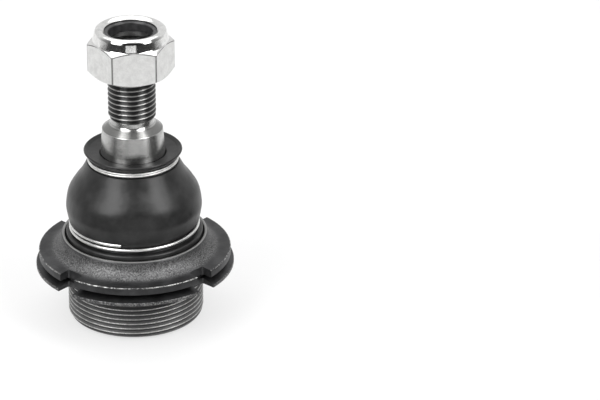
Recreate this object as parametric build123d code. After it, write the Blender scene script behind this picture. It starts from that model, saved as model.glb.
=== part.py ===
from build123d import *
import math
import os

# Suspension ball joint, sizes in millimetres and degrees.
# Z runs up the stud's axis. The origin is the middle of the housing's bottom face.

# clearances between pieces
ball_gap = 0.05          # ball to its race and its seat
seat_gap = 0.08          # pressure seat to the housing's bore
press_gap = 0.02         # pieces pressed or rolled into place
rubber_gap = 0.15        # rubber to the metal that it hugs
nut_gap = 0.06           # nut bore to the stud's crests
wire_gap = 0.12          # wound wire to the walls of its groove

# screw-in barrel, M40 x 1.5, drawn plain at its crests
barrel_r = 20.0
barrel_h = 16.0
foot_in = 1.6            # how far the rounded foot turns in
foot_h = 2.0
lip_root_fillet = 0.5

# lower lip, turned groove and upper flange
lip_over = 0.9           # how far the lower lip stands out past the flange
lip_edge_t = 0.9
lip_root_t = 1.9
groove_r = 24.0
groove_w = 1.1
flange_r = 28.3
flange_t = 2.3
flange_edge = 0.35
flange_land = 1.9        # flat ring between the flange's rim and the cove

# spanner notches through both lips
notch_count = 4
notch_first_deg = 45.0
notch_w = 5.8
notch_wall = 0.7         # metal left between a notch's floor and the groove's
notch_corner = 0.6
notch_run_out = 2.0      # how far a notch's cut runs past the rim

# ball, its race and its pressure seat
ball_r = 12.5
ball_flat = 1.0          # height taken off the ball's foot
race_low = 2.6           # the race's foot below the ball's centre
race_lip = 0.3           # the race's lip behind the throat's edge
race_groove = 0.8
seat_drop = 3.4          # the seat's rim below the ball's centre
seat_floor_t = 1.5
seat_hole_r = 3.2
seat_chamfer = 2.0

# bore, throat and mouth round the ball
bore_wall = 3.1          # bore to the ball, all round
throat_bite = 1.1        # how much smaller than the ball the throat is
throat_gap = 0.43        # ball to the throat's edge
throat_rise = 0.7        # the throat's edge above the recess floor
shoulder_drop = 3.2
mouth_flare = 2.6

# boss that the boot grips, recess and hub rim
boss_wall = 2.4
boss_rise = 6.3
boss_edge = 0.5
recess_w = 3.9
recess_depth = 0.7
rim_t = 1.3

# end cover and the rolled edge that holds it
cover_step = 0.9         # the cover's seat outside the bore
cover_t = 2.4
cover_dish = 0.8
dish_r = 10.2
dish_floor_r = 7.6
roll_t = 0.9
roll_in = 1.3

# disc spring
spring_t = 1.0
spring_h = 3.09
spring_in_r = 6.5
spring_edge_gap = 2.0    # the spring's rim to the bore

# neck and shank of the stud, inside the boot
neck_fillet = 1.5
neck_r = 6.7
neck_rise = 18.0         # the neck's top above the ball's centre
flare_h = 9.0

# taper seat, shoulder, undercut and threaded end, M14 x 1.5, drawn plain at its crests
taper_small_r = 8.87
taper_h = 8.0
taper_ratio = 6.0        # length to change of diameter
shoulder_h = 1.5
shoulder_in = 0.05       # the shoulder's top inside the crests
undercut_depth = 0.65
undercut_h = 2.0
thread_r = 7.0
thread_h = 21.9
thread_chamfer = 0.8

# dust boot, its bead and its wall
boot_wall = 1.6
bead_gap = 0.2           # bead to the hub's rim
bead_h = 2.35
bead_edge = 0.4
base_shoulder = 1.05
bulge_out = 1.79         # the widest ring outside the base groove
bulge_rise = 10.8        # the widest ring above the recess floor
bulge_swell = 0.25
mouth_ease = 0.5

# shares of the way from the bulge to the neck, up and inwards
bell_shares = ((0.30, 0.11), (0.52, 0.37), (0.74, 0.71))

# boot's top lip
collar_wall = 3.06       # rubber between the stud and the collar groove
neck_step = 0.89
lip_step = 0.4
lip_flare = 1.68
lip_rise = 2.0           # the lip's edge above the collar ring's top turn
lip_edge = 0.35
lip_dish = 0.8
lip_fold = 0.3
lip_overhang = 1.1       # the lip's edge above the start of the taper
throat_step = 0.6
throat_ease = 0.7

# base ring: round wire, wound in half turns
base_wire = 1.0
base_half_turns = 3
base_strand_gap = 0.45
base_end_deg = 257.4

# collar ring: finer wire, wound in half turns
collar_wire = 0.6
collar_half_turns = 4
collar_strand_gap = 0.04
collar_ring_rise = 25.8  # its top turn above the recess floor
collar_end_deg = 80.0

# lock nut
nut_grip = 8.1           # the stud's end above the nut's foot
nut_flats = 22.0
nut_hex_h = 10.5
nut_corner_drop = 1.25
nut_corner_spare = 0.3
nut_foot_in = 0.5
nut_foot_angle = 30.0
nut_neck_in = 0.1
nut_collar_in = 0.4
nut_collar_h = 3.5
nut_collar_wall = 1.3
nut_waist_h = 1.1
nut_roll_h = 1.3
nut_roll_drop = 0.75
nut_roll_bias = 0.25
nut_lip_w = 1.6
nut_lip_t = 0.85
nut_root = 0.5           # how deep the collar's root sits in the hexagon
nut_entry = 0.8
nut_turn_deg = 4.2

# nylon insert
insert_bite = 0.5        # how much smaller than the stud the hole is
insert_edge = 0.4
insert_gap = 0.25        # under the rolled lip

# radii that follow the ball outwards
bore_r = ball_r + bore_wall
throat_r = ball_r - throat_bite
mouth_r = throat_r + mouth_flare
boss_r = mouth_r + boss_wall
recess_r = boss_r + recess_w
hub_r = recess_r + rim_t
cover_r = bore_r + cover_step
spring_out_r = bore_r - spring_edge_gap
socket_r = ball_r + ball_gap
notch_floor_r = groove_r + notch_wall
lip_r = flange_r + lip_over

# levels from the foot up to the ball
cover_z = roll_t + press_gap
cover_top_z = cover_z + cover_t
spring_z = cover_top_z + press_gap
seat_foot_z = spring_z + spring_h + press_gap
ball_foot_z = seat_foot_z + seat_floor_t + ball_gap
ball_z = ball_foot_z + ball_r - ball_flat

# levels of the lips, the hub and the boss
lip_top_z = barrel_h + lip_root_t
flange_z = lip_top_z + groove_w
flange_top_z = flange_z + flange_t
throat_z = ball_z + math.sqrt((ball_r + throat_gap) ** 2 - throat_r**2)
recess_z = throat_z - throat_rise
rim_z = recess_z + recess_depth
boss_top_z = recess_z + boss_rise

# the boot's foot and its ring
base_pitch = base_wire + base_strand_gap
boot_foot_z = recess_z + rubber_gap
boot_grip_r = boss_r + rubber_gap
bead_r = recess_r - bead_gap
bead_top_z = boot_foot_z + bead_h
base_groove_r = boot_grip_r + boot_wall
base_ring_r = base_groove_r + wire_gap + base_wire / 2
base_ring_z = bead_top_z + wire_gap + base_wire / 2 + base_half_turns * base_pitch / 2
base_groove_z = base_ring_z + base_wire / 2 + wire_gap
bulge_r = base_groove_r + bulge_out
bulge_z = recess_z + bulge_rise

# the stud's taper, the boot's neck and its ring
taper_large_r = taper_small_r + taper_h / (2 * taper_ratio)
boot_hole_r = taper_large_r + rubber_gap
collar_pitch = collar_wire + collar_strand_gap
collar_groove_r = boot_hole_r + collar_wall
collar_ring_r = collar_groove_r + press_gap + collar_wire / 2
collar_ring_z = recess_z + collar_ring_rise
collar_foot_z = collar_ring_z - collar_half_turns * collar_pitch / 2 - collar_wire / 2 - wire_gap
collar_top_z = collar_ring_z + collar_wire / 2 + wire_gap
boot_neck_r = collar_groove_r + neck_step
lip_flare_r = collar_groove_r + lip_flare
lip_z = collar_ring_z + lip_rise

# levels of the stud's upper end
taper_z = lip_z - lip_overhang
taper_top_z = taper_z + taper_h
shoulder_z = taper_top_z + shoulder_h
undercut_z = shoulder_z + undercut_h
stud_top_z = undercut_z + thread_h
shoulder_r = thread_r - shoulder_in
undercut_r = thread_r - undercut_depth

# the nut and its insert
nut_z = stud_top_z - nut_grip
hex_top_z = nut_z + nut_hex_h
nut_top_z = hex_top_z + nut_collar_h
well_z = hex_top_z - nut_root
nut_bore_r = thread_r + nut_gap
nut_foot_r = nut_flats / 2 - nut_foot_in
nut_neck_r = nut_flats / 2 - nut_neck_in
nut_collar_r = nut_flats / 2 - nut_collar_in
nut_well_r = nut_collar_r - nut_collar_wall
nut_mouth_r = nut_well_r - nut_lip_w
insert_hole_r = thread_r - insert_bite
insert_z = well_z + press_gap
insert_top_z = nut_top_z - nut_lip_t - insert_gap


def lathe(outline):
    """A solid turned about Z from a closed outline of (radius, height) edges."""
    return revolve(Plane.XZ * make_face(outline), Axis.Z)


def turned(*points):
    """A solid turned about Z from straight runs between (radius, height) points."""
    return lathe(Polyline(*points, close=True))


def leg_of(long_side, side):
    """The other leg of a right triangle, for the height of a circle at a distance."""
    return math.sqrt(long_side**2 - side**2)


def barrel_outline():
    """From the foot's rounded edge up the barrel to the lower lip."""
    side = (barrel_r, foot_h)
    root = (barrel_r, barrel_h - lip_root_fillet)
    round_foot = EllipticalCenterArc((barrel_r - foot_in, foot_h), foot_in, foot_h, 270, arc_size=90)
    fillet_arc = RadiusArc(root, (barrel_r + lip_root_fillet, barrel_h), lip_root_fillet)
    return round_foot + Line(side, root) + fillet_arc


def lips_outline():
    """Both lips and the groove between them, up to the start of the cove."""
    return Polyline(
        (barrel_r + lip_root_fillet, barrel_h),
        (lip_r, barrel_h),
        (lip_r, barrel_h + lip_edge_t),
        (groove_r, lip_top_z),
        (groove_r, flange_z),
        (flange_r - flange_edge, flange_z),
        (flange_r, flange_z + flange_edge),
        (flange_r, flange_top_z - flange_edge),
        (flange_r - flange_edge, flange_top_z),
        (flange_r - flange_land, flange_top_z),
    )


def hub_outline():
    """The cove that climbs to the hub, and the hub's rounded rim."""
    cove_w = flange_r - flange_land - hub_r
    cove_centre = (hub_r + cove_w, rim_z)
    cove = EllipticalCenterArc(cove_centre, cove_w, rim_z - flange_top_z, 180, arc_size=90)
    rim = ThreePointArc((hub_r, rim_z), (hub_r - rim_t / 2, rim_z + rim_t / 2), (recess_r, rim_z))
    return cove + rim


def inner_outline():
    """Down from the rim: recess, boss, mouth, throat, bore, cover seat and rolled edge."""
    cover_wall_r = cover_r + press_gap
    return Polyline(
        (recess_r, rim_z),
        (recess_r, recess_z),
        (boss_r, recess_z),
        (boss_r, boss_top_z - boss_edge),
        (boss_r - boss_edge, boss_top_z),
        (mouth_r, boss_top_z),
        (throat_r, throat_z),
        (bore_r, throat_z - shoulder_drop),
        (bore_r, spring_z),
        (cover_wall_r, spring_z),
        (cover_wall_r, roll_t),
        (cover_wall_r - roll_in, roll_t * 2 / 3),
        (cover_wall_r - roll_in, 0),
        (barrel_r - foot_in, 0),
    )


def make_notches():
    """Slots through both lips, each with a flat floor and rounded inner corners."""
    reach = max(lip_r, flange_r) + notch_run_out - notch_floor_r
    tall = rim_z - barrel_h + notch_run_out
    slot = Box(reach, notch_w, tall, align=(Align.MIN, Align.CENTER, Align.MIN))
    inner = slot.edges().filter_by(Axis.Z).group_by(Axis.X)[0]
    slot = Pos(notch_floor_r, 0, barrel_h - notch_run_out / 2) * fillet(inner, notch_corner)
    step = 360 / notch_count
    return [Rot(0, 0, notch_first_deg + n * step) * slot for n in range(notch_count)]


def make_housing():
    outline = barrel_outline() + lips_outline() + hub_outline() + inner_outline()
    return lathe(outline) - make_notches()


def make_end_cover():
    return turned(
        (0, cover_z + cover_dish),
        (dish_floor_r, cover_z + cover_dish),
        (dish_r, cover_z),
        (cover_r, cover_z),
        (cover_r, cover_top_z),
        (0, cover_top_z),
    )


def make_preload_spring():
    """A coned disc between the cover and the pressure seat."""
    head = spring_z + spring_h
    return turned(
        (spring_out_r, spring_z),
        (spring_out_r, spring_z + spring_t),
        (spring_in_r, head),
        (spring_in_r, head - spring_t),
    )


def make_pressure_seat():
    """The loose cup under the ball: a spherical hollow, a grease hole and a chamfered foot."""
    wall = bore_r - seat_gap
    rim = ball_z - seat_drop
    blank = turned(
        (seat_hole_r, seat_foot_z),
        (wall - seat_chamfer, seat_foot_z),
        (wall, seat_foot_z + seat_chamfer),
        (wall, rim),
        (seat_hole_r, rim),
    )
    return blank - Pos(0, 0, ball_z) * Sphere(socket_r)


def make_upper_race():
    """The ring over the ball, its back cone against the housing's shoulder."""
    wall = bore_r - press_gap
    lip = throat_r + race_lip
    foot = ball_z - race_low
    slope = shoulder_drop / (bore_r - throat_r)
    under = throat_z - 2 * press_gap
    blank = turned(
        (lip, foot),
        (wall, foot),
        (wall, under - slope * (wall - throat_r)),
        (lip, under - slope * (lip - throat_r)),
    )
    race = blank - Pos(0, 0, ball_z) * Sphere(socket_r)
    return race - Pos(0, 0, ball_z) * Torus(socket_r, race_groove / 2)


def ball_outline():
    """From the ball's flat foot round the ball and its root fillet to the top of the neck."""
    flat_r = leg_of(ball_r, ball_r - ball_flat)
    root_up = leg_of(ball_r + neck_fillet, neck_r + neck_fillet)
    share = ball_r / (ball_r + neck_fillet)
    leave = ((neck_r + neck_fillet) * share, ball_z + root_up * share)
    meet = (neck_r, ball_z + root_up)
    ball = ThreePointArc((flat_r, ball_foot_z), (ball_r, ball_z), leave)
    root = RadiusArc(leave, meet, -neck_fillet)
    return ball + root + Line(meet, (neck_r, ball_z + neck_rise))


def shank_outline():
    """The flare from the neck to the taper seat, then the seat and the shoulder's cone."""
    flare_low = (neck_r, ball_z + neck_rise)
    flare_top = (taper_large_r, ball_z + neck_rise + flare_h)
    flare = Spline([flare_low, flare_top], tangents=[(0, 1), (0, 1)])
    seat = Polyline(
        flare_top,
        (taper_large_r, taper_z),
        (taper_small_r, taper_top_z),
        (shoulder_r, shoulder_z),
    )
    return flare + seat


def stud_end_outline():
    """The rounded undercut and the threaded end, back down the axis to the ball's foot."""
    round_r = shoulder_r - undercut_r
    relief = RadiusArc((shoulder_r, shoulder_z), (undercut_r, shoulder_z + round_r), -round_r)
    end = Polyline(
        (undercut_r, shoulder_z + round_r),
        (undercut_r, undercut_z),
        (thread_r, undercut_z + thread_r - undercut_r),
        (thread_r, stud_top_z - thread_chamfer),
        (thread_r - thread_chamfer, stud_top_z),
        (0, stud_top_z),
        (0, ball_foot_z),
        (leg_of(ball_r, ball_r - ball_flat), ball_foot_z),
    )
    return relief + end


def make_ball_stud():
    return lathe(ball_outline() + shank_outline() + stud_end_outline())


def boot_foot_outline():
    """The bead in the hub's recess and the groove of the base ring."""
    return Polyline(
        (boot_grip_r, boot_foot_z),
        (bead_r, boot_foot_z),
        (bead_r, bead_top_z - bead_edge),
        (bead_r - bead_edge, bead_top_z),
        (base_groove_r, bead_top_z),
        (base_groove_r, base_groove_z),
        (base_groove_r + base_shoulder, base_groove_z),
    )


def bell_knots(inset):
    """Points of the bell from its bulge to below its neck, set in by a wall."""
    height = collar_foot_z - bulge_z
    width = bulge_r - boot_neck_r
    knots = []
    for up, inward in bell_shares:
        knots.append((bulge_r - width * inward - inset, bulge_z + height * up - inset * inward))
    return knots


def boot_lip_outline():
    """The collar groove, the flared lip, its dished top and the hole round the stud."""
    throat_top = collar_foot_z - throat_step
    return Polyline(
        (boot_neck_r, collar_foot_z),
        (collar_groove_r, collar_foot_z),
        (collar_groove_r, collar_top_z),
        (collar_groove_r + lip_step, collar_top_z),
        (lip_flare_r, lip_z),
        (lip_flare_r - lip_edge, lip_z + lip_edge),
        (collar_groove_r + lip_fold, lip_z - lip_dish / 2),
        (boot_hole_r, lip_z - lip_dish),
        (boot_hole_r, throat_top),
        (boot_hole_r + throat_step, throat_top - throat_ease),
    )


def make_dust_boot():
    """The rubber bell, drawn once round its section."""
    outer = Spline([
        (base_groove_r + base_shoulder, base_groove_z),
        (bulge_r - bulge_swell, (base_groove_z + bulge_z) / 2),
        (bulge_r, bulge_z),
        *bell_knots(0),
        (boot_neck_r, collar_foot_z),
    ])
    mouth_top = (boot_grip_r + mouth_ease, base_groove_z + boot_wall / 2)
    inner = Spline([
        (boot_hole_r + throat_step, collar_foot_z - throat_step - throat_ease),
        *reversed(bell_knots(boot_wall)),
        (bulge_r - boot_wall, bulge_z),
        mouth_top,
    ])
    mouth = Polyline(mouth_top, (boot_grip_r, base_groove_z), (boot_grip_r, boot_foot_z))
    return lathe(boot_foot_outline() + outer + boot_lip_outline() + inner + mouth)


def wound_ring(mid_r, wire, half_turns, pitch, top_z, end_deg):
    """Round wire wound upwards anticlockwise: tilted half rings that meet level."""
    half_r = math.hypot(mid_r, pitch / 4)
    tilt = math.degrees(math.asin(pitch / 4 / half_r))
    half = Rot(0, tilt, 0) * Torus(half_r, wire / 2, major_angle=180, align=None)
    coil = half
    for n in range(1, half_turns):
        coil = coil + Pos(0, 0, n * pitch / 2) * Rot(0, 0, 180 * n) * half
    foot_z = top_z - half_turns * pitch / 2
    return Pos(0, 0, foot_z + pitch / 4) * Rot(0, 0, end_deg - 180 * half_turns) * coil


def make_base_ring():
    return wound_ring(base_ring_r, base_wire, base_half_turns, base_pitch, base_ring_z, base_end_deg)


def make_collar_ring():
    return wound_ring(
        collar_ring_r, collar_wire, collar_half_turns, collar_pitch, collar_ring_z, collar_end_deg
    )


def nut_hexagon():
    """The hexagon, coned at foot and head, which leaves arcs on its faces."""
    corner_r = nut_flats / math.sqrt(3) + nut_corner_spare
    foot_rise = (corner_r - nut_foot_r) * math.tan(math.radians(nut_foot_angle))
    blank = turned(
        (0, nut_z),
        (nut_foot_r, nut_z),
        (corner_r, nut_z + foot_rise),
        (corner_r, hex_top_z - nut_corner_drop),
        (nut_neck_r, hex_top_z),
        (0, hex_top_z),
    )
    prism = extrude(RegularPolygon(nut_flats / 2, 6, major_radius=False), nut_hex_h)
    return (Pos(0, 0, nut_z) * Rot(0, 0, nut_turn_deg) * prism) & blank


def nut_collar():
    """The thin collar above the hexagon, rolled in over the insert."""
    roll_low = nut_top_z - nut_roll_h
    roll_end = nut_top_z - nut_roll_drop
    crown_r = (nut_collar_r + nut_mouth_r) / 2 + nut_roll_bias
    side = Polyline(
        (nut_well_r, well_z),
        (nut_neck_r, well_z),
        (nut_neck_r, hex_top_z),
        (nut_collar_r, hex_top_z + nut_waist_h),
        (nut_collar_r, roll_low),
    )
    over = Spline(
        [(nut_collar_r, roll_low), (crown_r, nut_top_z), (nut_mouth_r, roll_end)],
        tangents=[(0, 1), (-1, -0.35)],
    )
    inside = Polyline(
        (nut_mouth_r, roll_end),
        (nut_mouth_r, nut_top_z - nut_lip_t),
        (nut_well_r, nut_top_z - nut_lip_t),
        (nut_well_r, well_z),
    )
    return lathe(side + over + inside)


def make_lock_nut():
    """Hexagon and collar in one, with a plain bore, a chamfered entry and a well."""
    base = (Align.CENTER, Align.CENTER, Align.MIN)
    bore = Pos(0, 0, nut_z) * Cylinder(nut_bore_r, well_z - nut_z, align=base)
    well = Pos(0, 0, well_z) * Cylinder(nut_well_r, nut_top_z - well_z, align=base)
    entry = turned(
        (0, nut_z),
        (nut_bore_r + nut_entry, nut_z),
        (nut_bore_r, nut_z + nut_entry),
        (0, nut_z + nut_entry),
    )
    return nut_hexagon() - bore - well - entry + nut_collar()


def make_nut_insert():
    """The nylon ring in the nut's well, with both edges of its hole eased."""
    outer = nut_well_r - press_gap
    return turned(
        (insert_hole_r + insert_edge, insert_z),
        (outer, insert_z),
        (outer, insert_top_z),
        (insert_hole_r + insert_edge, insert_top_z),
        (insert_hole_r, insert_top_z - insert_edge),
        (insert_hole_r, insert_z + insert_edge),
    )


makers = {
    "housing": make_housing,
    "end_cover": make_end_cover,
    "preload_spring": make_preload_spring,
    "pressure_seat": make_pressure_seat,
    "upper_race": make_upper_race,
    "ball_stud": make_ball_stud,
    "dust_boot": make_dust_boot,
    "boot_base_ring": make_base_ring,
    "boot_collar_ring": make_collar_ring,
    "lock_nut": make_lock_nut,
    "nut_insert": make_nut_insert,
}

os.makedirs("parts", exist_ok=True)
for name, make in makers.items():
    export_step(make(), os.path.join("parts", name + ".step"))
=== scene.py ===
import bpy
import math
from mathutils import Matrix, Vector


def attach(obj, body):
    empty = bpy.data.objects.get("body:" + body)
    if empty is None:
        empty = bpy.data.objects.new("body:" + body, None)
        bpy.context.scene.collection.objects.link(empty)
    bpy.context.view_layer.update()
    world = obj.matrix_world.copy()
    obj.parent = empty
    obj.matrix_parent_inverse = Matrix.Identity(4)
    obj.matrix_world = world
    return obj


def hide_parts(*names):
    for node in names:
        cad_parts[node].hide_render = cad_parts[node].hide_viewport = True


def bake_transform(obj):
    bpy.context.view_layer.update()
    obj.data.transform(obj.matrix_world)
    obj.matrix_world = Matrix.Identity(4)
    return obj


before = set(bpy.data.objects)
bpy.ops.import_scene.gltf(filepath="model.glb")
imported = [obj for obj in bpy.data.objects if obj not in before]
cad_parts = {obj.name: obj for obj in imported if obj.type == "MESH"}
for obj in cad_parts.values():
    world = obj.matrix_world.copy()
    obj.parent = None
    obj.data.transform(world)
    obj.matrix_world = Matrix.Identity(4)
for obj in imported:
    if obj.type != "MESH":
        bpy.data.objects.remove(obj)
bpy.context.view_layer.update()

mm = 0.001
fullTurn = 2 * math.pi
samePoint = 0.002  # mm, nearer points of a drawn outline or a turned skin are one
coreGap = 0.03  # mm, how far the plain core stays under the root of its thread
cutSlack = 0.0001  # mm, only points this near a cut snap to it


def pickOnly(obj):
    bpy.ops.object.select_all(action="DESELECT")
    obj.select_set(True)
    bpy.context.view_layer.objects.active = obj


def pickEdges(obj, wanted):
    # leaves the object in edit mode with only the edges whose two ends pass the test
    pickOnly(obj)
    bpy.ops.object.mode_set(mode="EDIT")
    bpy.ops.mesh.select_mode(type="EDGE")
    bpy.ops.mesh.select_all(action="DESELECT")
    bpy.ops.object.mode_set(mode="OBJECT")
    for edge in obj.data.edges:
        a, b = [obj.data.vertices[v].co for v in edge.vertices]
        edge.select = wanted(a, b)
    bpy.ops.object.mode_set(mode="EDIT")


def turnAll(degrees, axis):
    # everything selected in edit mode, anticlockwise about an axis through the origin
    bpy.ops.transform.rotate(value=-math.radians(degrees), orient_axis=axis, center_override=(0, 0, 0))


def roundedPath(corners, turnStep=12):
    # corners are (radius, height) or (radius, height, rounding), in mm, round a closed outline
    path = []
    for i, corner in enumerate(corners):
        here = Vector(corner[:2])
        rounding = corner[2] if len(corner) > 2 else 0
        if rounding == 0:
            path.append(tuple(here))
            continue
        back = (Vector(corners[i - 1][:2]) - here).normalized()
        ahead = (Vector(corners[(i + 1) % len(corners)][:2]) - here).normalized()
        half = back.angle(ahead) / 2
        centre = here + (back + ahead).normalized() * rounding / math.sin(half)
        start = here + back * rounding / math.tan(half) - centre
        end = here + ahead * rounding / math.tan(half) - centre
        sweep = math.pi - 2 * half
        steps = max(2, math.ceil(math.degrees(sweep) / turnStep))
        for k in range(steps + 1):
            a = sweep * k / steps
            path.append(tuple(centre + (start * math.sin(sweep - a) + end * math.sin(a)) / math.sin(sweep)))
    return path


def arcPath(centre, radiusR, radiusZ, fromDeg, toDeg, steps):
    angles = [math.radians(fromDeg + (toDeg - fromDeg) * k / steps) for k in range(steps + 1)]
    return [(centre[0] + radiusR * math.cos(a), centre[1] + radiusZ * math.sin(a)) for a in angles]


def smoothPath(knots, steps):
    # a curve through every knot
    ends = [2 * Vector(knots[0]) - Vector(knots[1])] + [Vector(k) for k in knots]
    ends.append(2 * Vector(knots[-1]) - Vector(knots[-2]))
    path = []
    for i in range(1, len(ends) - 2):
        a, b, c, d = ends[i - 1:i + 3]
        for k in range(steps):
            t = k / steps
            path.append(tuple(((2 * b) + (c - a) * t + (2 * a - 5 * b + 4 * c - d) * t ** 2
                               + (3 * b - a - 3 * c + d) * t ** 3) / 2))
    path.append(tuple(knots[-1]))
    return path


def drawOutline(name, path, closed):
    # one vertex, extruded from point to point in the XZ plane
    bpy.ops.object.select_all(action="DESELECT")
    bpy.ops.mesh.primitive_plane_add(size=mm, location=(0, 0, 0))
    obj = bpy.context.object
    obj.name = name
    obj.data.name = name
    bpy.ops.object.mode_set(mode="EDIT")
    bpy.ops.mesh.select_mode(type="VERT")
    bpy.ops.mesh.select_all(action="SELECT")
    bpy.ops.mesh.merge(type="CENTER")
    stops = list(path) + ([path[0]] if closed else [])
    bpy.ops.transform.translate(value=(stops[0][0] * mm, 0, stops[0][1] * mm))
    for last, stop in zip(stops, stops[1:]):
        move = ((stop[0] - last[0]) * mm, 0, (stop[1] - last[1]) * mm)
        bpy.ops.mesh.extrude_vertices_move(TRANSFORM_OT_translate={"value": move})
    bpy.ops.mesh.select_all(action="SELECT")
    bpy.ops.mesh.remove_doubles(threshold=samePoint * mm)
    bpy.ops.object.mode_set(mode="OBJECT")
    return obj


def tidySkin(obj, doubles=samePoint):
    pickOnly(obj)
    bpy.ops.object.mode_set(mode="EDIT")
    bpy.ops.mesh.select_mode(type="VERT")
    bpy.ops.mesh.select_all(action="SELECT")
    if doubles:
        bpy.ops.mesh.remove_doubles(threshold=doubles * mm)
    bpy.ops.mesh.delete_loose()  # such as the line a lathe path leaves on its axis
    bpy.ops.mesh.select_all(action="SELECT")
    bpy.ops.mesh.normals_make_consistent(inside=False)
    bpy.ops.object.mode_set(mode="OBJECT")


def latheTurn(name, path, steps):
    obj = drawOutline(name, path, True)
    bpy.ops.object.mode_set(mode="EDIT")
    bpy.ops.mesh.select_all(action="SELECT")
    bpy.ops.mesh.spin(steps=steps, angle=fullTurn, center=(0, 0, 0), axis=(0, 0, 1))
    bpy.ops.object.mode_set(mode="OBJECT")
    tidySkin(obj)
    return obj


def combine(obj, tool, how, doubles=0.001):
    pickOnly(obj)
    bpy.ops.object.modifier_add(type="BOOLEAN")
    cut = obj.modifiers[-1]
    cut.operation = how
    cut.solver = "EXACT"
    cut.object = tool
    bpy.ops.object.modifier_apply(modifier=cut.name)
    bpy.data.objects.remove(tool)
    tidySkin(obj, doubles)


def smoothEdges(obj, degrees):
    pickOnly(obj)
    bpy.ops.object.shade_smooth_by_angle(angle=math.radians(degrees))


def cutFlat(obj, z, keepBelow):
    pickOnly(obj)
    bpy.ops.object.mode_set(mode="EDIT")
    bpy.ops.mesh.select_all(action="SELECT")
    bpy.ops.mesh.bisect(plane_co=(0, 0, z * mm), plane_no=(0, 0, 1), use_fill=True, threshold=cutSlack * mm,
                        clear_outer=keepBelow, clear_inner=not keepBelow)
    bpy.ops.object.mode_set(mode="OBJECT")


def windUp(obj, rise, turns, rounds, steps):
    # a right-hand screw, which rises as it goes round anticlockwise
    pickOnly(obj)
    bpy.ops.object.modifier_add(type="SCREW")
    wind = obj.modifiers[-1]
    wind.axis = "Z"
    wind.angle = fullTurn * turns
    wind.screw_offset = rise * turns * mm
    wind.iterations = rounds
    wind.steps = wind.render_steps = steps
    bpy.ops.object.modifier_apply(modifier=wind.name)


def threadRod(name, thread):
    # one tooth of the thread, wound up and cut off flat at both ends
    pitch = thread["pitch"]
    part = pitch / 16  # crest and root are flat over an eighth of the pitch
    crest = thread["crestR"]
    root = crest - thread["depthShare"] * pitch
    flank = roundedPath([
        (root, -pitch),
        (root, part, thread["rootRound"]), (crest, 7 * part, thread["crestRound"]),
        (crest, 9 * part, thread["crestRound"]), (root, 15 * part, thread["rootRound"]),
        (root, 2 * pitch),
    ], 20)[1:-1]
    tooth = [(root, 0)] + flank + [(root, pitch)]
    low = thread["lowZ"] - 2 * pitch
    obj = drawOutline(name, [(r, z + low) for r, z in tooth], False)
    windUp(obj, pitch, 1, math.ceil((thread["highZ"] - low) / pitch) + 2, thread["steps"])
    tidySkin(obj, 0.003)
    cutFlat(obj, thread["lowZ"], False)
    cutFlat(obj, thread["highZ"], True)
    tidySkin(obj, 0.001)
    return obj


print("modelling tools ready")

# turned to face the part's axis, tipped down, then swung and rolled about its own axes
cameraSpot = {
    "at": (-2.5, -904.33, 471.04), "lens": 204.82, "sensor": 36,
    "pitchDeg": 25.747, "yawDeg": 2.783, "rollDeg": -1.226,
}


def placeCamera():
    bpy.ops.object.camera_add(location=[v * mm for v in cameraSpot["at"]])
    camera = bpy.context.object
    camera.name = "camera"
    camera.data.lens = cameraSpot["lens"]
    camera.data.sensor_width = cameraSpot["sensor"]
    camera.data.clip_start = 0.01
    camera.data.clip_end = 20
    heading = math.atan2(cameraSpot["at"][1], cameraSpot["at"][0]) + math.radians(90)
    tip = math.radians(90 - cameraSpot["pitchDeg"])
    aim = Matrix.Rotation(heading, 3, "Z") @ Matrix.Rotation(tip, 3, "X")
    aim = aim @ Matrix.Rotation(math.radians(-cameraSpot["yawDeg"]), 3, "Y")
    aim = aim @ Matrix.Rotation(math.radians(cameraSpot["rollDeg"]), 3, "Z")
    camera.rotation_euler = aim.to_euler()
    bpy.context.scene.camera = camera


placeCamera()
print("camera placed")

housing = {
    "barrelR": 20.0, "neckZ": 11.2, "lipZ": 16.0, "lipR": 29.2, "lipEdge": 0.9, "lipRoot": 1.9,
    "grooveR": 24.0, "grooveW": 1.1, "flangeR": 28.3, "flangeT": 2.3, "land": 1.9,
    "hubR": 21.6, "rimZ": 25.6, "rimT": 1.3, "recessZ": 24.9, "bossR": 16.4, "bossZ": 31.2,
    "mouthR": 14.0, "throatR": 11.4, "throatZ": 25.6, "boreR": 15.6, "boreTopZ": 22.4,
    "seatR": 16.52, "seatZ": 3.34, "rollR": 15.22, "rollTopZ": 0.93, "rollLowZ": 0.62, "footR": 18.3,
    "notchW": 5.8, "notchFloor": 24.7, "notchRound": 0.6, "notchDeg": 45, "notches": 4, "notchReach": 9.0,
    "steps": 192,
}
barrelThread = {
    "pitch": 1.5, "depthShare": 0.6134, "crestR": 20.0, "crestRound": 0.16, "rootRound": 0.1, "lowZ": 0.4,
    "highZ": 11.6, "steps": 192, "sleeveSteps": 97,  # the sleeve's sides never line up with the thread's
}


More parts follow.
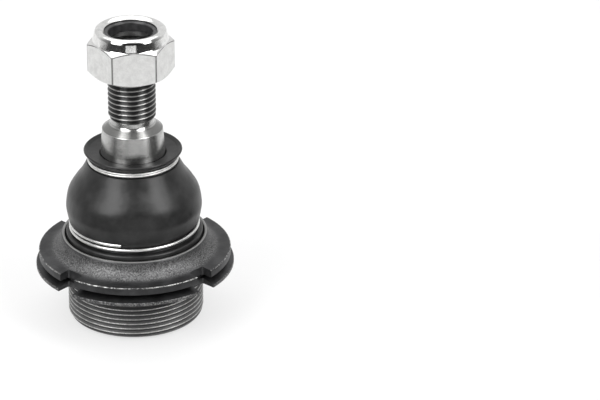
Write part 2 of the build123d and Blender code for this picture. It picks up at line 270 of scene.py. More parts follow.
def buildNotchCutter():
    # one rounded slot, then copies turned about the axis and joined
    h = housing
    reach = h["notchReach"]
    tall = h["rimZ"] - h["lipZ"] + 2  # 1 mm past the lip and the rim
    middle = (h["notchFloor"] + reach / 2, 0, h["lipZ"] - 1 + tall / 2)
    size = (reach * mm, h["notchW"] * mm, tall * mm)
    bpy.ops.object.select_all(action="DESELECT")
    bpy.ops.mesh.primitive_cube_add(size=1, location=[v * mm for v in middle], scale=size)
    slot = bpy.context.object
    slot.name = "notchCutter"
    bpy.ops.object.transform_apply(location=True, rotation=True, scale=True)
    floorX = (h["notchFloor"] + 1) * mm
    pickEdges(slot, lambda a, b: abs(a.x - b.x) + abs(a.y - b.y) < 1e-6 and a.x < floorX)
    bpy.ops.mesh.bevel(offset=h["notchRound"] * mm, segments=4, affect="EDGES")
    bpy.ops.mesh.select_mode(type="VERT")
    bpy.ops.mesh.select_all(action="SELECT")
    turnAll(h["notchDeg"], "Z")
    bpy.ops.mesh.normals_make_consistent(inside=False)
    bpy.ops.object.mode_set(mode="OBJECT")
    copies = [slot]
    for k in range(1, h["notches"]):
        pickOnly(copies[-1])
        bpy.ops.object.duplicate(linked=False)
        bpy.ops.object.mode_set(mode="EDIT")
        bpy.ops.mesh.select_all(action="SELECT")
        turnAll(360 / h["notches"], "Z")
        bpy.ops.object.mode_set(mode="OBJECT")
        copies.append(bpy.context.object)
    pickOnly(slot)
    for obj in copies:
        obj.select_set(True)
    bpy.ops.object.join()
    return slot


def buildHousing():
    h = housing
    grooveLow = h["lipZ"] + h["lipRoot"]
    flangeLow = grooveLow + h["grooveW"]
    flangeTop = flangeLow + h["flangeT"]
    coveR = h["flangeR"] - h["land"]
    threadRoot = h["barrelR"] - barrelThread["depthShare"] * barrelThread["pitch"] - coreGap
    outside = roundedPath([
        (h["footR"], 0, 0.3), (threadRoot, 0.75, 0.2), (threadRoot, h["neckZ"] - 0.55),
        (h["barrelR"], h["neckZ"] + 0.35, 0.15), (h["barrelR"], h["lipZ"], 0.5),
        (h["lipR"], h["lipZ"], 0.12), (h["lipR"], h["lipZ"] + h["lipEdge"], 0.18),
        (h["grooveR"], grooveLow, 0.25), (h["grooveR"], flangeLow, 0.25), (h["flangeR"], flangeLow, 0.2),
        (h["flangeR"], flangeTop, 0.28), (coveR - 1, flangeTop),
    ])[:-1]
    cove = arcPath((coveR, h["rimZ"]), coveR - h["hubR"], h["rimZ"] - flangeTop, 270, 180, 14)
    rim = arcPath((h["hubR"] - h["rimT"] / 2, h["rimZ"]), h["rimT"] / 2, h["rimT"] / 2, 0, 180, 10)[1:]
    inside = roundedPath([
        (h["hubR"] - h["rimT"], h["rimZ"] + 1), (h["hubR"] - h["rimT"], h["recessZ"], 0.2),
        (h["bossR"], h["recessZ"], 0.3), (h["bossR"], h["bossZ"], 0.5), (h["mouthR"], h["bossZ"], 0.4),
        (h["throatR"], h["throatZ"], 0.3), (h["boreR"], h["boreTopZ"], 0.3), (h["boreR"], h["seatZ"], 0.1),
        (h["seatR"], h["seatZ"]), (h["seatR"], h["rollTopZ"]),
        (h["rollR"], h["rollLowZ"], 0.25), (h["rollR"], 0, 0.25), (h["footR"], 0),
    ])[1:-1]
    body = latheTurn("jointHousing", outside + cove + rim + inside, h["steps"])
    screw = threadRod("barrelScrew", barrelThread)
    sleeveTop = h["neckZ"] + 0.3
    sleeve = latheTurn("barrelSleeve", roundedPath([  # chamfers the thread's start and cuts out its core
        (17.4, 0.45), (18.6, 0.45, 0.2), (19.35, 0.75, 0.5), (20.05, 1.9, 0.6),
        (20.05, sleeveTop), (18.6, sleeveTop), (17.4, sleeveTop),
    ]), barrelThread["sleeveSteps"])
    combine(screw, sleeve, "INTERSECT")
    combine(body, screw, "UNION", 0)  # closed as it is: merging its shortest edges would open it
    combine(body, buildNotchCutter(), "DIFFERENCE", 0)
    return body


jointHousing = buildHousing()
smoothEdges(jointHousing, 32)
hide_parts("housing")
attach(jointHousing, "base")
print("housing built,", len(jointHousing.data.polygons), "faces")

cover = {
    "dishR": 7.6, "dishZ": 1.72, "footR": 10.2, "lowZ": 0.92, "rimR": 16.5, "topZ": 3.32,
    "bend": 1.2, "edge": 0.2, "steps": 128,
}
coverPath = roundedPath([
    (0, cover["dishZ"]), (cover["dishR"], cover["dishZ"], cover["bend"]),
    (cover["footR"], cover["lowZ"], cover["bend"]), (cover["rimR"], cover["lowZ"], cover["edge"]),
    (cover["rimR"], cover["topZ"], cover["edge"]), (0, cover["topZ"]),
])
endCover = latheTurn("endCover", coverPath, cover["steps"])
smoothEdges(endCover, 40)
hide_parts("end_cover")
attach(endCover, "base")
print("end cover built")

stud = {
    "ballR": 12.5, "ballZ": 19.5, "footZ": 8.0, "neckR": 6.7, "neckTopZ": 37.5, "shankZ": 46.5,
    "taperZ": 51.6, "taperTopZ": 59.6, "taperLarge": 9.537, "taperSmall": 8.87,
    "shoulderZ": 61.1, "shoulderR": 6.95, "reliefR": 6.35, "threadZ": 63.1, "topZ": 85.0, "centreR": 1.6,
    "steps": 128,
}
studThread = {
    "pitch": 1.5, "depthShare": 0.6134, "crestR": 7.0, "crestRound": 0.16, "rootRound": 0.1, "lowZ": 62.9,
    "highZ": 84.9, "steps": 96, "sleeveSteps": 97, "hollowR": 5.4,
}


def buildStud():
    s = stud
    root = studThread["crestR"] - studThread["depthShare"] * studThread["pitch"] - coreGap
    start = math.degrees(math.asin((s["footZ"] - s["ballZ"]) / s["ballR"]))
    end = 90 - math.degrees(math.asin((s["neckR"] + 1.2) / (s["ballR"] + 1.5)))
    ball = arcPath((0, s["ballZ"]), s["ballR"], s["ballR"], start, end, 40)
    waist = smoothPath([
        ball[-1], (s["neckR"] + 0.25, s["ballZ"] + 11.2), (s["neckR"], s["ballZ"] + 12.6),
    ], 5)[1:]
    flare = smoothPath([
        (s["neckR"], s["neckTopZ"]), (s["neckR"] + 0.75, s["neckTopZ"] + 2.7),
        (s["taperLarge"] - 0.75, s["shankZ"] - 2.7), (s["taperLarge"], s["shankZ"]),
    ], 5)
    upper = roundedPath([
        (s["taperLarge"], s["shankZ"] - 1), (s["taperLarge"], s["taperZ"]),
        (s["taperSmall"], s["taperTopZ"], 0.1),
        (s["shoulderR"] + 0.1, s["shoulderZ"] - 0.08, 0.3), (s["reliefR"], s["shoulderZ"] + 0.65, 0.7),
        (s["reliefR"], s["threadZ"], 0.1), (root, s["threadZ"] + 0.4),
        (root, s["topZ"] - 1.05), (root - 0.1, s["topZ"], 0.1),
        (s["centreR"] + 0.4, s["topZ"], 0.15), (s["centreR"], s["topZ"] - 0.5, 0.15),
        (0, s["topZ"] - 1.3), (0, s["footZ"]),
    ])[1:-1]
    body = latheTurn("ballStud", [(0, s["footZ"])] + ball + waist + flare + upper, s["steps"])
    screw = threadRod("studScrew", studThread)
    sleeve = latheTurn("studSleeve", roundedPath([  # chamfers both ends of the thread
        (0, 63.0), (6.0, 63.0), (6.35, 63.15), (7.05, 64.1, 0.3), (7.05, s["topZ"] - 1.5, 0.2),
        (5.85, s["topZ"] - 0.3), (0, s["topZ"] - 0.3),
    ]), studThread["sleeveSteps"])
    combine(screw, sleeve, "INTERSECT")
    hollowR = studThread["hollowR"]
    hollow = latheTurn("studHollow", [(0, 62), (hollowR, 62), (hollowR, 86), (0, 86)], 48)
    combine(screw, hollow, "DIFFERENCE")
    combine(body, screw, "UNION")
    return body


ballStud = buildStud()
smoothEdges(ballStud, 32)
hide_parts("ball_stud")
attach(ballStud, "stud")
print("stud built,", len(ballStud.data.polygons), "faces")

boot = {
    "footZ": 25.05, "gripR": 16.55, "beadR": 20.1, "beadTopZ": 27.4, "ringR": 18.15, "grooveTopZ": 30.765,
    "bulgeR": 19.94, "bulgeZ": 35.7, "neckR": 13.64, "neckZ": 49.0, "collarR": 12.75, "collarTopZ": 51.12,
    "flareR": 14.43, "lipZ": 52.7, "holeR": 9.69, "wall": 1.6, "steps": 144,
}


def buildBoot():
    b = boot
    shoulderR = b["ringR"] + 1.05
    outer = smoothPath([
        (shoulderR, b["grooveTopZ"] + 0.05), (b["bulgeR"] - 0.25, 33.25), (b["bulgeR"], b["bulgeZ"]),
        (19.25, 39.69), (17.61, 42.62), (15.47, 45.54), (b["neckR"], b["neckZ"] - 0.15),
    ], 8)
    foot = roundedPath([
        (b["gripR"], b["footZ"], 0.2), (b["beadR"], b["footZ"], 0.3), (b["beadR"], b["beadTopZ"], 0.55),
        (b["ringR"], b["beadTopZ"], 0.3), (b["ringR"], b["grooveTopZ"], 0.3), (shoulderR, b["grooveTopZ"]),
        (shoulderR - 0.05, b["grooveTopZ"] + 3),
    ])[:-2]
    collar = roundedPath([
        (b["neckR"] + 0.6, b["neckZ"] - 3), (b["neckR"], b["neckZ"], 0.25), (b["collarR"], b["neckZ"], 0.2),
        (b["collarR"], b["collarTopZ"], 0.2), (b["collarR"] + 0.5, b["collarTopZ"], 0.1),
        (b["flareR"], b["lipZ"], 0.15), (b["flareR"] - 0.35, b["lipZ"] + 0.35, 0.15),
        (b["collarR"] + 0.3, b["lipZ"] - 0.4, 0.6), (b["holeR"], b["lipZ"] - 0.8, 0.25),
        (b["holeR"], 48.4, 0.3), (b["holeR"] + 0.6, 47.7),
    ])[1:]
    inner = smoothPath([
        (b["holeR"] + 0.6, 47.7), (13.87, 44.4), (16.01, 42.03), (17.65, 39.5),
        (b["bulgeR"] - b["wall"], b["bulgeZ"]), (b["gripR"] + 0.5, b["grooveTopZ"] + 0.85),
    ], 6)[1:]
    mouth = [(b["gripR"], b["grooveTopZ"] + 0.05)]
    return latheTurn("rubberBoot", foot + outer + collar + inner + mouth, b["steps"])


rubberBoot = buildBoot()
smoothEdges(rubberBoot, 50)
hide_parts("dust_boot")
print("boot built")

ringStepsPerTurn = 96
bootRings = {
    "baseRing": {
        "midR": 18.77, "wire": 1.0, "pitch": 1.45, "turns": 1.5, "topZ": 30.196, "endDeg": 257.4, "sides": 20,
        "body": "base", "node": "boot_base_ring",
    },
    "collarRing": {
        "midR": 13.067, "wire": 0.6, "pitch": 0.64, "turns": 2.0, "topZ": 50.7, "endDeg": 80.0, "sides": 16,
        "body": "collar", "node": "boot_collar_ring",
    },
}


def windRing(name, ring):
    # a circle of wire wound up to its upper stop, and closed at both ends
    bpy.ops.object.select_all(action="DESELECT")
    wireR = ring["wire"] / 2 * mm
    bpy.ops.mesh.primitive_circle_add(vertices=ring["sides"], radius=wireR, location=(0, 0, 0))
    obj = bpy.context.object
    obj.name = name
    obj.data.name = name
    bpy.ops.object.mode_set(mode="EDIT")
    bpy.ops.mesh.select_all(action="SELECT")
    turnAll(90, "X")
    low = ring["topZ"] - ring["pitch"] * ring["turns"]
    bpy.ops.transform.translate(value=(ring["midR"] * mm, 0, low * mm))
    turnAll(ring["endDeg"] - 360 * ring["turns"], "Z")
    bpy.ops.object.mode_set(mode="OBJECT")
    windUp(obj, ring["pitch"], ring["turns"], 1, int(ringStepsPerTurn * ring["turns"]))
    bpy.ops.object.mode_set(mode="EDIT")
    bpy.ops.mesh.select_all(action="SELECT")
    bpy.ops.mesh.fill_holes(sides=0)
    bpy.ops.object.mode_set(mode="OBJECT")
    tidySkin(obj)
    smoothEdges(obj, 40)
    return obj


for name, ring in bootRings.items():
    coil = windRing(name, ring)
    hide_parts(ring["node"])
    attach(coil, ring["body"])
print("boot rings wound")

nut = {
    "lowZ": 76.9, "hexTopZ": 87.4, "topZ": 90.9, "flats": 22.0, "cornerDrop": 1.25, "footR": 10.5,
    "footDeg": 30, "neckR": 10.9, "collarR": 10.52, "wellR": 9.3, "wellZ": 86.9, "mouthR": 7.7, "boreR": 7.06,
    "turnDeg": 4.2, "cornerRound": 0.3, "edgeRound": 0.12, "prismMidZ": 84, "prismT": 20, "steps": 192,
}


def buildNut():
    n = nut
    corner = n["flats"] / math.sqrt(3) + 0.3  # a little past the real corners, which the prism cuts
    footRise = (corner - n["footR"]) * math.tan(math.radians(n["footDeg"]))
    blank = roundedPath([
        (n["boreR"], n["lowZ"] + 0.8), (n["boreR"] + 0.8, n["lowZ"], 0.1), (n["footR"], n["lowZ"], 0.15),
        (corner, n["lowZ"] + footRise), (corner, n["hexTopZ"] - n["cornerDrop"]),
        (n["neckR"] + 0.08, n["hexTopZ"] - 0.03, 0.6), (n["collarR"], n["topZ"] - 1.2),
    ])
    over = smoothPath([
        (n["collarR"], n["topZ"] - 1.2), (n["collarR"] - 0.3, n["topZ"] - 0.5),
        (n["collarR"] - 0.95, n["topZ"] - 0.08), (n["collarR"] - 1.5, n["topZ"] - 0.005),
        (n["mouthR"] + 0.6, n["topZ"] - 0.3), (n["mouthR"], n["topZ"] - 0.72),
    ], 5)[1:]
    inside = roundedPath([
        (n["mouthR"], n["topZ"] - 0.85), (n["wellR"], n["topZ"] - 0.85),
        (n["wellR"], n["wellZ"]), (n["boreR"], n["wellZ"]),
    ])
    body = latheTurn("lockNut", blank + over + inside, n["steps"])
    bpy.ops.object.select_all(action="DESELECT")
    bpy.ops.mesh.primitive_cylinder_add(vertices=6, radius=n["flats"] / math.sqrt(3) * mm,
                                        depth=n["prismT"] * mm, location=(0, 0, n["prismMidZ"] * mm))
    prism = bpy.context.object
    prism.name = "nutPrism"
    bpy.ops.object.transform_apply(location=True, rotation=True, scale=True)
    pickEdges(prism, lambda a, b: abs(a.x - b.x) + abs(a.y - b.y) < 1e-6)
    bpy.ops.mesh.bevel(offset=n["cornerRound"] * mm, segments=3, affect="EDGES")
    bpy.ops.mesh.select_all(action="SELECT")
    turnAll(30 + n["turnDeg"], "Z")  # the primitive starts with a corner on Y, and a flat faces front
    bpy.ops.object.mode_set(mode="OBJECT")
    combine(body, prism, "INTERSECT")
    bpy.ops.object.modifier_add(type="BEVEL")
    ease = body.modifiers[-1]
    ease.width = n["edgeRound"] * mm
    ease.segments = 2
    ease.limit_method = "ANGLE"
    ease.angle_limit = math.radians(24)
    bpy.ops.object.modifier_apply(modifier=ease.name)
    tidySkin(body, 0.001)
    smoothEdges(body, 25)
    bpy.ops.object.modifier_add(type="WEIGHTED_NORMAL")
    shading = body.modifiers[-1]
    shading.keep_sharp = True  # flats and cones shade flat up to their eased edges
    bpy.ops.object.modifier_apply(modifier=shading.name)
    return body


lockNut = buildNut()
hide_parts("lock_nut")
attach(lockNut, "nut")

insert = {"holeR": 6.5, "outR": 9.28, "lowZ": 86.92, "topZ": 89.8, "steps": 96}
insertPath = roundedPath([
    (insert["holeR"], insert["lowZ"], 0.3), (insert["outR"], insert["lowZ"], 0.1),
    (insert["outR"], insert["topZ"], 0.1), (insert["holeR"], insert["topZ"], 0.4),
])
nutInsert = latheTurn("nutInsert", insertPath, insert["steps"])
smoothEdges(nutInsert, 40)
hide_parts("nut_insert")
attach(nutInsert, "nut")
print("nut and insert built,", len(lockNut.data.polygons), "faces")


class Signal:
    # one value of a node tree: a sum written with it adds its own Math nodes
    def __init__(self, bench, socket):
        self.bench = bench
        self.socket = socket

    def maths(self, operation, first, second):
        return self.bench.add("ShaderNodeMath", {"operation": operation}, {0: first, 1: second})

    def __add__(self, other):
        return self.maths("ADD", self, other)

    __radd__ = __add__

    def __sub__(self, other):
        return self.maths("SUBTRACT", self, other)

    def __rsub__(self, other):
        return self.maths("SUBTRACT", other, self)

    def __mul__(self, other):
        return self.maths("MULTIPLY", self, other)

    __rmul__ = __mul__

    def __truediv__(self, other):
        return self.maths("DIVIDE", self, other)

    def __pow__(self, other):
        return self.maths("POWER", self, other)

    def between(self, low, high):
        # 0 at low, 1 at high and smooth in between; low may be the greater
        return self.bench.add("ShaderNodeMapRange", {"interpolation_type": "SMOOTHSTEP"},
                              {"Value": self, "From Min": low, "From Max": high})


class Bench:
    # a node tree, and the one way in which nodes are added to it
    def __init__(self, tree):
        self.tree = tree

    def feed(self, socket, value):
        if isinstance(value, Signal):
            self.tree.links.new(value.socket, socket)
        else:
            socket.default_value = value

    def add(self, kind, settings, values, out=0):
        made = self.tree.nodes.new(kind)
        for key, value in settings.items():
            setattr(made, key, value)
        for key, value in values.items():
            self.feed(made.inputs[key], value)
        return Signal(self, made.outputs[out])

    def parts(self, vector):
        return [self.add("ShaderNodeSeparateXYZ", {}, {0: vector}, out=k) for k in range(3)]


class Finish(Bench):
    # a material with its shader, and the piece's own place in mm
    def __init__(self, name, **constants):
        self.material = bpy.data.materials.new(name)
        self.material.use_nodes = True
        super().__init__(self.material.node_tree)
        self.shader = self.tree.nodes["Principled BSDF"]
        for key, value in constants.items():
            self.shader.inputs[key.replace("_", " ")].default_value = value
        coords = self.add("ShaderNodeTexCoord", {}, {}, out="Object")
        self.place = self.add("ShaderNodeMapping", {}, {"Vector": coords, "Scale": (1 / mm, 1 / mm, 1 / mm)})
        self.x, self.y, self.z = self.parts(self.place)
        self.r = (self.x * self.x + self.y * self.y) ** 0.5
        self.rings = self.add("ShaderNodeCombineXYZ", {}, {"X": self.r, "Z": self.z})

    def noise(self, size, detail=2.0, rough=0.5, over=None):
        # size of the grain in mm
        return self.add("ShaderNodeTexNoise", {}, {
            "Vector": over or self.place, "Scale": 1 / size, "Detail": detail, "Roughness": rough})

    def over(self, mask, under, top):
        # a colour laid over another where the mask is 1
        colours = {0: mask, 6: under, 7: (*top, 1)}
        return self.add("ShaderNodeMix", {"data_type": "RGBA"}, colours, out=2)

    def blend(self, mask, dark, light):
        return self.over(mask, (*dark, 1), light)

    def relief(self, height, depth, before=None):
        # height from 0 to 1 stands for this many mm
        values = {"Height": height, "Distance": depth * mm, "Strength": 1.0}
        if before:
            values["Normal"] = before
        return self.add("ShaderNodeBump", {}, values)

    def wear(self, **sockets):
        for key, value in sockets.items():
            self.feed(self.shader.inputs[key.replace("_", " ")], value)
        return self.material


forgingLook = {
    "dark": (0.034, 0.034, 0.035), "light": (0.064, 0.064, 0.066), "blasted": (0.2, 0.2, 0.2),
    # the rubbed-bright colour is wear on the flange edge and lip and a painted highlight on the hub rim; the
    # crest colour is a painted highlight, the root colour painted shade
    "wearAndHighlight": (0.46, 0.46, 0.45), "crest": (0.56, 0.56, 0.55), "root": (0.08, 0.08, 0.08),
    "flank": (0.17, 0.17, 0.17),
    # where each part of the skin fades in, as (from, to) in mm
    "coveLowZ": (21.35, 22.0), "coveHighZ": (26.1, 25.3), "coveR": (21.2, 21.6),
    "threadHighZ": (11.0, 10.6), "threadR": (18.3, 18.6), "rootR": (19.4, 19.1), "crestR": (19.75, 19.95),
    "crestHighZ": (10.9, 10.6), "runoutLowZ": (11.25, 11.4), "runoutHighZ": (11.9, 11.7),
    "rimR": (27.85, 28.2), "rimLowZ": (20.9, 21.2), "rimHighZ": (22.0, 21.6), "lipR": (28.85, 29.15),
    "hubLowZ": (26.0, 26.2), "hubInR": (20.4, 20.75), "hubOutR": (21.5, 21.25),
}


def darkForging():
    # phosphated steel: a blasted cove and turned faces, the flange's top edge and the lip rubbed bright,
    # painted highlights along the thread crests and the hub rim, and painted shade in the thread roots
    f = forgingLook
    look = Finish("darkForging", Metallic=0.85)
    grain = look.noise(0.42, 4, 0.7)
    cloud = look.noise(5.0, 3, 0.55)
    marks = look.noise(0.16, 1, 0.5, look.rings)
    chips = look.noise(0.7, 4, 0.75).between(0.43, 0.62)
    nicks = look.noise(0.5, 3, 0.7).between(0.45, 0.62)
    cove = look.z.between(*f["coveLowZ"]) * look.z.between(*f["coveHighZ"]) * look.r.between(*f["coveR"])
    thread = look.z.between(*f["threadHighZ"]) * look.r.between(*f["threadR"])
    runout = look.z.between(*f["runoutLowZ"]) * look.z.between(*f["runoutHighZ"])
    crest = look.r.between(*f["crestR"]) * (look.z.between(*f["crestHighZ"]) + runout)
    rimTop = look.r.between(*f["rimR"]) * look.z.between(*f["rimLowZ"]) * look.z.between(*f["rimHighZ"])
    rimTop = rimTop * chips
    lipFace = look.r.between(*f["lipR"]) * nicks * 0.45
    # painted highlight along the rounded top edge of the hub rim
    hubRimHighlight = look.z.between(*f["hubLowZ"]) * look.r.between(*f["hubInR"]) * look.r.between(*f["hubOutR"])
    colour = look.blend(cloud.between(0.3, 0.7), f["dark"], f["light"])
    colour = look.over(cove * grain.between(0.36, 0.68), colour, f["blasted"])
    colour = look.over(thread, colour, f["flank"])
    # painted shade in the thread roots
    colour = look.over(thread * look.r.between(*f["rootR"]), colour, f["root"])
    # painted highlight along the thread crests and the runout, broken up by the chip noise
    colour = look.over(crest * (0.45 + 0.55 * chips), colour, f["crest"])
    colour = look.over(rimTop + lipFace + 0.55 * hubRimHighlight, colour, f["wearAndHighlight"])
    skin = look.relief(grain * cove, 0.05)
    skin = look.relief(marks * (1 - cove), 0.006, skin)
    rough = 0.36 + 0.16 * grain + 0.08 * cove - 0.1 * rimTop
    return look.wear(Base_Color=colour, Roughness=rough, Normal=skin)


steelLook = {
    # the thread's dark colour is painted shade in its valleys and its light colour a painted highlight on its
    # crests; the shoulder and end colours are painted shade, the centre mark's colour a painted highlight
    "dull": (0.36, 0.36, 0.355), "bright": (0.56, 0.56, 0.55), "valleyShade": (0.08, 0.08, 0.08),
    "crest": (0.5, 0.5, 0.49), "shoulder": (0.24, 0.24, 0.235), "end": (0.09, 0.09, 0.09),
    "centreMarkHighlight": (0.7, 0.7, 0.69),
    # where each fades in, as (from, to) in mm
    "threadLowZ": (62.9, 63.6), "threadHighZ": (85.2, 84.9), "valleyR": (6.96, 6.8),
    "shoulderLowZ": (59.62, 59.75), "shoulderHighZ": (61.4, 61.1), "shoulderR": (8.85, 8.75),
    "endZ": (83.9, 84.2), "faceR": (2.0, 2.1), "centreR": (2.0, 1.9),
}


def turnedSteel():
    # ground taper and shoulder with turning marks, the shoulder face painted darker as painted shade, and a
    # rolled thread with painted highlights on its crests and painted shade in its valleys; the end face
    # inside the nut is painted shade around a painted highlight on its centre mark
    s = steelLook
    look = Finish("turnedSteel", Metallic=1.0, Anisotropic=0.9, Anisotropic_Rotation=0.25)
    marks = look.noise(0.12, 2, 0.6, look.rings)
    cloud = look.noise(2.5, 3, 0.6)
    thread = look.z.between(*s["threadLowZ"]) * look.z.between(*s["threadHighZ"])
    shoulder = look.z.between(*s["shoulderLowZ"]) * look.z.between(*s["shoulderHighZ"])
    end = look.z.between(*s["endZ"])
    shadedEndFace = end * look.r.between(*s["faceR"])
    colour = look.blend((0.5 * marks + 0.5 * cloud).between(0.3, 0.7), s["dull"], s["bright"])
    # painted shade: the shoulder face darker than the taper
    colour = look.over(shoulder * look.r.between(*s["shoulderR"]), colour, s["shoulder"])
    # painted highlight on the thread crests, with painted shade laid over the flanks and valleys next
    colour = look.over(thread, colour, s["crest"])
    colour = look.over(thread * look.r.between(*s["valleyR"]), colour, s["valleyShade"])
    # painted shade on the end face inside the nut, and a painted highlight on its centre mark
    colour = look.over(shadedEndFace, colour, s["end"])
    colour = look.over(end * look.r.between(*s["centreR"]), colour, s["centreMarkHighlight"])
    rough = 0.2 + 0.06 * cloud + 0.2 * thread + 0.3 * shadedEndFace
    return look.wear(Base_Color=colour, Roughness=rough, Normal=look.relief(marks, 0.0012))


rubberLook = {"black": (0.007, 0.007, 0.007), "bloom": (0.018, 0.018, 0.018)}


def mouldedRubber():
    # black rubber, faintly bloomed, with the slight waves of a thin moulding
    look = Finish("mouldedRubber", Specular_IOR_Level=0.38)
    grain = look.noise(0.22, 2, 0.5)
    wave = look.noise(7.0, 2, 0.5)
    smear = look.noise(3.0, 4, 0.6)
    bloom = (0.6 * smear + 0.4 * wave).between(0.35, 0.7)
    colour = look.blend(bloom, rubberLook["black"], rubberLook["bloom"])
    skin = look.relief(wave, 0.22)
    skin = look.relief(grain, 0.012, skin)
    return look.wear(Base_Color=colour, Roughness=0.3 + 0.14 * smear, Normal=skin)


zincLook = {
    # the edge colour is a painted dark reflection along the corners and the top edge of the flats
    "shade": (0.7, 0.7, 0.69), "light": (0.88, 0.88, 0.87), "edge": (0.08, 0.08, 0.08),
    # where each fades in, as (from, to) in mm: R from the axis, Z up, Under below the top cone
    "coneReach": 2.1, "flatsR": (10.9, 11.0), "flatsUnder": (0.02, 0.14), "flatsLowZ": (77.2, 77.4),
    "cornerR": (12.48, 12.62), "cornerLowZ": (77.6, 78.2), "cornerUnder": (0.0, 0.2),
    "rimR": (10.95, 11.1), "rimLowUnder": (0.38, 0.2), "rimTopUnder": (0.02, 0.06),
}


def brightZinc():
    # plated nut: the rolled collar mirrors, the drawn flats are clouded and satin, with painted dark
    # reflection lines along the corners and the top edge of the flats
    c = zincLook
    look = Finish("brightZinc", Metallic=1.0)
    cloud = look.noise(2.2, 4, 0.65)
    speck = look.noise(0.35, 2, 0.6)
    under = nut["hexTopZ"] - nut["cornerDrop"] * (look.r - nut["neckR"]) / c["coneReach"] - look.z
    flats = look.r.between(*c["flatsR"]) * under.between(*c["flatsUnder"]) * look.z.between(*c["flatsLowZ"])
    colour = look.blend((0.7 * cloud + 0.3 * speck).between(0.3, 0.7), c["shade"], c["light"])
    rough = 0.115 + flats * (0.28 + 0.14 * cloud)
    # painted dark reflection lines on the corners and on the top edge of the flats, broken up by cloud noise
    corner = look.r.between(*c["cornerR"]) * look.z.between(*c["cornerLowZ"])
    corner = corner * under.between(*c["cornerUnder"])
    rim = look.r.between(*c["rimR"]) * under.between(*c["rimLowUnder"]) * under.between(*c["rimTopUnder"])
    colour = look.over((0.75 * corner + rim) * (0.55 + 0.45 * cloud.between(0.3, 0.5)), colour, c["edge"])
    skin = look.relief(cloud * flats, 0.05)
    skin = look.relief(speck, 0.004, skin)
    return look.wear(Base_Color=colour, Roughness=rough, Normal=skin)


wireLook = {"dull": (0.6, 0.6, 0.59), "bright": (0.86, 0.86, 0.85), "closeTurnsR": (14.2, 13.8)}


def springWire():
    # drawn spring wire: fine lines along it, a few dull spots, and the collar ring's close turns duller
    look = Finish("springWire", Metallic=1.0)
    lines = look.noise(0.07, 1, 0.5, look.rings)
    dull = look.noise(1.6, 3, 0.6)
    close = look.r.between(*wireLook["closeTurnsR"])
    colour = look.blend((0.5 * lines + 0.5 * dull).between(0.35, 0.65), wireLook["dull"], wireLook["bright"])
    rough = 0.26 + 0.16 * dull + 0.14 * close
    return look.wear(Base_Color=colour, Roughness=rough, Normal=look.relief(lines, 0.003))


nylonLook = {"black": (0.016, 0.016, 0.017), "grey": (0.036, 0.036, 0.037)}


def blackNylon():
    # moulded nylon ring with a soft shine
    look = Finish("blackNylon", Specular_IOR_Level=0.5)
    cloud = look.noise(1.4, 3, 0.6)
    grain = look.noise(0.15, 2, 0.5)
    colour = look.blend(cloud.between(0.3, 0.7), nylonLook["black"], nylonLook["grey"])
    return look.wear(Base_Color=colour, Roughness=0.28 + 0.14 * cloud, Normal=look.relief(grain, 0.008))


plateLook = {"dark": (0.11, 0.11, 0.11), "light": (0.24, 0.24, 0.235)}


def pressedSteel():
    # dull plate with the faint rings of its press tool
    look = Finish("pressedSteel", Metallic=0.9)
    rings = look.noise(0.5, 2, 0.6, look.rings)
    cloud = look.noise(4.0, 4, 0.6)
    colour = look.blend((0.5 * rings + 0.5 * cloud).between(0.3, 0.7), plateLook["dark"], plateLook["light"])
    return look.wear(Base_Color=colour, Roughness=0.38 + 0.2 * cloud, Normal=look.relief(rings, 0.012))


blueLook = {"dark": (0.12, 0.125, 0.14), "light": (0.28, 0.28, 0.29)}


def blueSpring():
    # hardened disc spring
    look = Finish("blueSpring", Metallic=1.0)
    rings = look.noise(0.25, 2, 0.6, look.rings)
    cloud = look.noise(3.0, 3, 0.6)
    colour = look.blend((0.4 * rings + 0.6 * cloud).between(0.3, 0.7), blueLook["dark"], blueLook["light"])
    return look.wear(Base_Color=colour, Roughness=0.3 + 0.15 * cloud, Normal=look.relief(rings, 0.006))


plasticLook = {"shade": (0.6, 0.58, 0.52), "light": (0.7, 0.68, 0.62)}


def bearingPlastic():
    # natural acetal, slightly greasy
    look = Finish("bearingPlastic")
    cloud = look.noise(4.0, 3, 0.6)
    grain = look.noise(0.2, 2, 0.5)
    colour = look.blend(cloud.between(0.3, 0.7), plasticLook["shade"], plasticLook["light"])
    return look.wear(Base_Color=colour, Roughness=0.24 + 0.16 * cloud, Normal=look.relief(grain, 0.006))


def paint(obj, material):
    if obj.material_slots:
        for slot in obj.material_slots:
            slot.material = material
    else:
        obj.data.materials.append(material)


wireFinish = springWire()
plasticFinish = bearingPlastic()
paint(jointHousing, darkForging())
paint(endCover, pressedSteel())
paint(ballStud, turnedSteel())
paint(rubberBoot, mouldedRubber())
paint(lockNut, brightZinc())
paint(nutInsert, blackNylon())
for name in bootRings:
    paint(bpy.data.objects[name], wireFinish)
paint(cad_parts["preload_spring"], blueSpring())
paint(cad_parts["upper_race"], plasticFinish)
paint(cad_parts["pressure_seat"], plasticFinish)
print("finishes made")

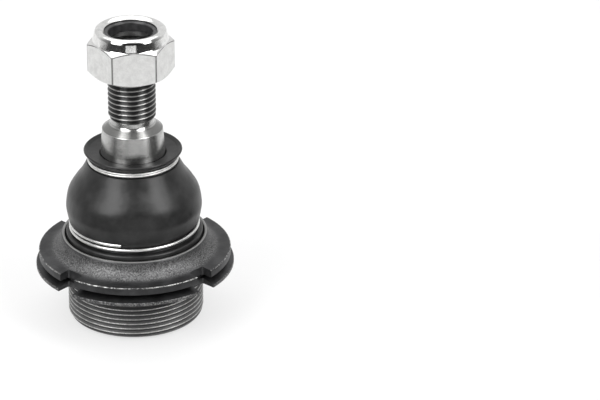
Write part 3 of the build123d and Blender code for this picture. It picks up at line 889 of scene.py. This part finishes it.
studio = {
    # the whole studio is in metres, and its brightness against white
    "floorSize": 2.4, "floorFront": -0.75, "floorDrop": 0.0002, "floorGrey": 0.2, "floorGlow": 0.66,
    "airHigh": 0.25, "airBack": 0.8, "airFront": 0.01, "airSeen": 1.0, "aimZ": 0.045,
    "boxes": {
        "leftBox": {"at": (-0.62, -0.6, 0.72), "size": (0.65, 1.2), "glow": 2.0, "spreadDeg": 100},
        "rightBox": {"at": (0.7, -0.52, 0.72), "size": (0.5, 1.2), "glow": 2.1, "spreadDeg": 100},
        "topBox": {"at": (0.0, 0.15, 1.1), "size": (1.5, 1.1), "glow": 1.2, "spreadDeg": 180},
        "frontCard": {"at": (0.0, -0.52, 0.084), "size": (0.28, 0.026), "glow": 1.3, "spreadDeg": 180},
    },
    "wall": {"reach": 0.56, "tall": 0.11, "backY": 0.15, "grey": 0.015, "sides": 64},
    "boardLift": 0.0005,
    "boards": {  # flat on the floor, at a heading from the front
        "rightBoard": {"headingDeg": 73, "reach": 0.25, "size": (0.17, 0.36), "grey": 0.015},
        "leftBoard": {"headingDeg": -54, "reach": 0.25, "size": (0.2, 0.36), "grey": 0.16},
    },
}


def onlyMirrored(obj, name, grey):
    # a card that the bright metal reflects, and that neither the camera nor the lighting sees
    obj.name = name
    obj.visible_camera = False
    obj.visible_diffuse = False
    obj.visible_shadow = False
    obj.visible_transmission = False
    card = Finish(name + "Paper", Roughness=0.9, Specular_IOR_Level=0.1, Emission_Strength=1.0)
    tone = card.noise(90.0, 2, 0.5)
    paint(obj, card.wear(Base_Color=card.blend(tone, (0.01,) * 3, (0.02,) * 3),
                         Emission_Color=card.blend(tone, (grey * 0.9,) * 3, (grey * 1.1,) * 3)))


def buildCards():
    wall = studio["wall"]
    bpy.ops.object.select_all(action="DESELECT")
    bpy.ops.mesh.primitive_cylinder_add(vertices=wall["sides"], radius=wall["reach"], depth=wall["tall"],
                                        end_fill_type="NOTHING", location=(0, 0, wall["tall"] / 2))
    bpy.ops.object.transform_apply(location=True)
    bpy.ops.object.mode_set(mode="EDIT")
    bpy.ops.mesh.select_all(action="SELECT")
    slope = (0, wall["tall"], wall["reach"] + wall["backY"])  # highest in front, down to the floor behind
    bpy.ops.mesh.bisect(plane_co=(0, wall["backY"], 0), plane_no=slope, threshold=cutSlack * mm,
                        clear_outer=True)
    bpy.ops.object.mode_set(mode="OBJECT")
    onlyMirrored(bpy.context.object, "lowWall", wall["grey"])
    for name, board in studio["boards"].items():
        bpy.ops.object.select_all(action="DESELECT")
        bpy.ops.mesh.primitive_plane_add(size=1, location=(0, -board["reach"], studio["boardLift"]))
        flat = bpy.context.object
        flat.scale = (*board["size"], 1)
        bpy.ops.object.transform_apply(location=True, scale=True)
        bpy.ops.object.mode_set(mode="EDIT")
        bpy.ops.mesh.select_all(action="SELECT")
        turnAll(board["headingDeg"], "Z")
        bpy.ops.object.mode_set(mode="OBJECT")
        onlyMirrored(flat, name, board["grey"])


def layFloor():
    bpy.ops.object.select_all(action="DESELECT")
    middle = (0, studio["floorFront"] + studio["floorSize"] / 2, -studio["floorDrop"])
    bpy.ops.mesh.primitive_plane_add(size=studio["floorSize"], location=middle)
    floor = bpy.context.object
    floor.name = "floor"
    bpy.ops.object.transform_apply(location=True)
    paper = Finish("floorPaper", Emission_Strength=studio["floorGlow"])  # as on a light table
    tone = studio["floorGrey"]
    shade = paper.noise(400.0, 2, 0.5)
    paint(floor, paper.wear(Base_Color=paper.blend(shade, (tone,) * 3, (tone + 0.02,) * 3), Roughness=0.7))


def hangLamps():
    aim = Vector((0, 0, studio["aimZ"]))
    for name, box in studio["boxes"].items():
        bpy.ops.object.light_add(type="AREA", location=box["at"])
        lamp = bpy.context.object
        lamp.name = name
        lamp.data.shape = "RECTANGLE"
        lamp.data.size, lamp.data.size_y = box["size"]
        lamp.data.energy = box["glow"] * math.pi * box["size"][0] * box["size"][1]
        lamp.data.spread = math.radians(box["spreadDeg"])
        lamp.visible_camera = False
        lamp.rotation_euler = (Vector(box["at"]) - aim).to_track_quat("Z", "Y").to_euler()


def fillAir():
    # pale behind, dark in front, and a plain white backdrop for the camera from every side
    world = bpy.data.worlds.new("studioAir")
    bpy.context.scene.world = world
    world.use_nodes = True
    air = Bench(world.node_tree)
    x, y, z = air.parts(air.add("ShaderNodeTexCoord", {}, {}, out="Generated"))
    ahead = (0 - y) / ((x * x + y * y) ** 0.5 + 0.001)
    darkRoom = ahead.between(0.1, 0.62) * z.between(0.62, 0.46)
    back = ahead.between(0.2, -0.6)
    glow = studio["airHigh"] + back * (studio["airBack"] - studio["airHigh"])
    glow = glow * (1 - darkRoom) + darkRoom * studio["airFront"]
    seen = air.add("ShaderNodeLightPath", {}, {}, out="Is Camera Ray")
    sky = world.node_tree.nodes["Background"]
    sky.inputs["Color"].default_value = (1, 1, 1, 1)
    air.feed(sky.inputs["Strength"], glow * (1 - seen) + seen * studio["airSeen"])


layFloor()
hangLamps()
fillAir()
buildCards()
bpy.context.scene.view_settings.view_transform = "Standard"
print("studio lit")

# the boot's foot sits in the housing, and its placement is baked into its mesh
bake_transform(rubberBoot)
